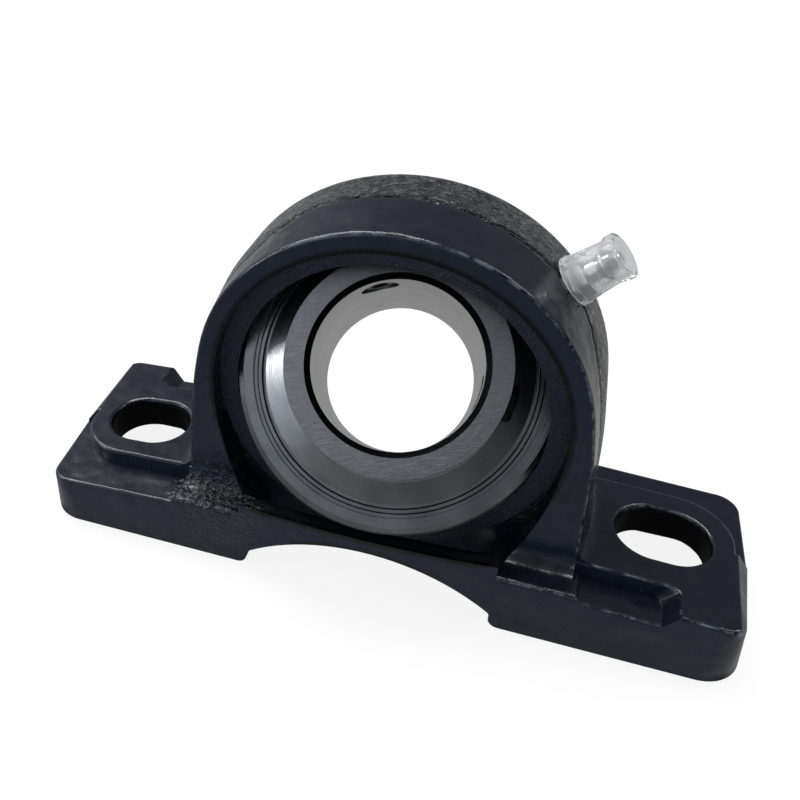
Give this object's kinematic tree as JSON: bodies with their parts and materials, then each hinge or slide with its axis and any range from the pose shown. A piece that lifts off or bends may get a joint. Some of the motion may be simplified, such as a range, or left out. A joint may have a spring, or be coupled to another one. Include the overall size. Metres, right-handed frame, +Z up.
{
  "type": "pillow block bearing",
  "caption": "Cast-iron pillow block with a self-aligning ball bearing insert for a 35 mm shaft, set screws, flingers and a capped grease nipple.",
  "frame": {"origin": "middle of the base's resting plane, straight below the centre of the spherical seat", "axes": "+X along the base towards the grease nipple's side, -Y the front that the insert's long side faces, +Z up"},
  "size_m": [0.169, 0.062, 0.0918],
  "materials": {
    "housing_paint": "gloss black paint over rough casting",
    "ring_steel": "fine turned",
    "flinger_steel": "bright pressed sheet",
    "seal_steel": "pressed sheet",
    "seal_rubber": "matte",
    "hardened_steel": "polished",
    "cage_steel": "pressed sheet",
    "black_oxide_steel": "black oxide",
    "zinc_plated_steel": "bright zinc",
    "spring_steel": "drawn wire",
    "clear_cap": "translucent polyethylene"
  },
  "bodies": {
    "housing": {"housing": "housing_paint", "grease_nipple": "zinc_plated_steel", "nipple_spring": "spring_steel"},
    "insert": {"outer_ring": "ring_steel", "seal_core_front": "seal_steel", "seal_core_rear": "seal_steel", "seal_lip_front": "seal_rubber", "seal_lip_rear": "seal_rubber"},
    "inner": {"inner_ring": "ring_steel", "flinger_front": "flinger_steel", "flinger_rear": "flinger_steel"},
    "cage": {"cage_front": "cage_steel", "cage_rear": "cage_steel", "cage_rivets": "cage_steel"},
    "nipple_check_ball": {"nipple_check_ball": "hardened_steel"},
    "nipple_cap": {"nipple_cap": "clear_cap"},
    "ball_1": {"ball_1": "hardened_steel"},
    "ball_2": {"ball_2": "hardened_steel"},
    "ball_3": {"ball_3": "hardened_steel"},
    "ball_4": {"ball_4": "hardened_steel"},
    "ball_5": {"ball_5": "hardened_steel"},
    "ball_6": {"ball_6": "hardened_steel"},
    "ball_7": {"ball_7": "hardened_steel"},
    "ball_8": {"ball_8": "hardened_steel"},
    "ball_9": {"ball_9": "hardened_steel"},
    "set_screw_1": {"set_screw_1": "black_oxide_steel"},
    "set_screw_2": {"set_screw_2": "black_oxide_steel"}
  },
  "joints": [
    {"name": "insert_swivel", "type": "hinge", "parent": "housing", "child": "insert", "pos_m": [0, 0, 0.0476], "axis": [-0.9878, 0, 0.1559], "range_deg": [-130, 50]},
    {"name": "shaft_spin", "type": "hinge", "parent": "insert", "child": "inner", "pos_m": [0, 0, 0.0476], "axis": [0.1006, -0.7639, 0.6374], "continuous": true},
    {"name": "cage_spin", "type": "hinge", "parent": "insert", "child": "cage", "pos_m": [0, 0, 0.0476], "axis": [0.1006, -0.7639, 0.6374], "continuous": true},
    {"name": "ball_1_spin", "type": "hinge", "parent": "cage", "child": "ball_1", "pos_m": [0.02652, 0.00349, 0.0476], "axis": [0.1006, -0.7639, 0.6374], "continuous": true},
    {"name": "ball_2_spin", "type": "hinge", "parent": "cage", "child": "ball_2", "pos_m": [0.01889, 0.01354, 0.06085], "axis": [0.1006, -0.7639, 0.6374], "continuous": true},
    {"name": "ball_3_spin", "type": "hinge", "parent": "cage", "child": "ball_3", "pos_m": [0.00241, 0.01725, 0.0679], "axis": [0.1006, -0.7639, 0.6374], "continuous": true},
    {"name": "ball_4_spin", "type": "hinge", "parent": "cage", "child": "ball_4", "pos_m": [-0.01519, 0.01289, 0.06545], "axis": [0.1006, -0.7639, 0.6374], "continuous": true},
    {"name": "ball_5_spin", "type": "hinge", "parent": "cage", "child": "ball_5", "pos_m": [-0.02568, 0.0025, 0.05465], "axis": [0.1006, -0.7639, 0.6374], "continuous": true},
    {"name": "ball_6_spin", "type": "hinge", "parent": "cage", "child": "ball_6", "pos_m": [-0.02416, -0.00906, 0.04055], "axis": [0.1006, -0.7639, 0.6374], "continuous": true},
    {"name": "ball_7_spin", "type": "hinge", "parent": "cage", "child": "ball_7", "pos_m": [-0.01133, -0.01639, 0.02975], "axis": [0.1006, -0.7639, 0.6374], "continuous": true},
    {"name": "ball_8_spin", "type": "hinge", "parent": "cage", "child": "ball_8", "pos_m": [0.0068, -0.01604, 0.0273], "axis": [0.1006, -0.7639, 0.6374], "continuous": true},
    {"name": "ball_9_spin", "type": "hinge", "parent": "cage", "child": "ball_9", "pos_m": [0.02175, -0.00819, 0.03435], "axis": [0.1006, -0.7639, 0.6374], "continuous": true},
    {"name": "set_screw_1_travel", "type": "slide", "parent": "inner", "child": "set_screw_1", "axis": [-0.4015, 0.555, 0.7285], "range_m": [-0.0003, 0.0035]},
    {"name": "set_screw_2_travel", "type": "slide", "parent": "inner", "child": "set_screw_2", "axis": [0.9891, 0.0075, -0.147], "range_m": [-0.0003, 0.0035]},
    {"name": "cap_pull", "type": "slide", "parent": "housing", "child": "nipple_cap", "axis": [0.7314, 0, 0.682], "range_m": [0, 0.012]},
    {"name": "check_ball_travel", "type": "slide", "parent": "housing", "child": "nipple_check_ball", "axis": [-0.7314, 0, -0.682], "range_m": [0, 0.0006], "stiffness_N_per_m": 400, "deforming": ["nipple_spring"]}
  ],
  "couplings": [
    {"joint": "cage_spin", "follows": "shaft_spin", "ratio": 0.3961},
    {"joint": "ball_1_spin", "follows": "shaft_spin", "ratio": -2.3036},
    {"joint": "ball_2_spin", "follows": "shaft_spin", "ratio": -2.3036},
    {"joint": "ball_3_spin", "follows": "shaft_spin", "ratio": -2.3036},
    {"joint": "ball_4_spin", "follows": "shaft_spin", "ratio": -2.3036},
    {"joint": "ball_5_spin", "follows": "shaft_spin", "ratio": -2.3036},
    {"joint": "ball_6_spin", "follows": "shaft_spin", "ratio": -2.3036},
    {"joint": "ball_7_spin", "follows": "shaft_spin", "ratio": -2.3036},
    {"joint": "ball_8_spin", "follows": "shaft_spin", "ratio": -2.3036},
    {"joint": "ball_9_spin", "follows": "shaft_spin", "ratio": -2.3036}
  ]
}
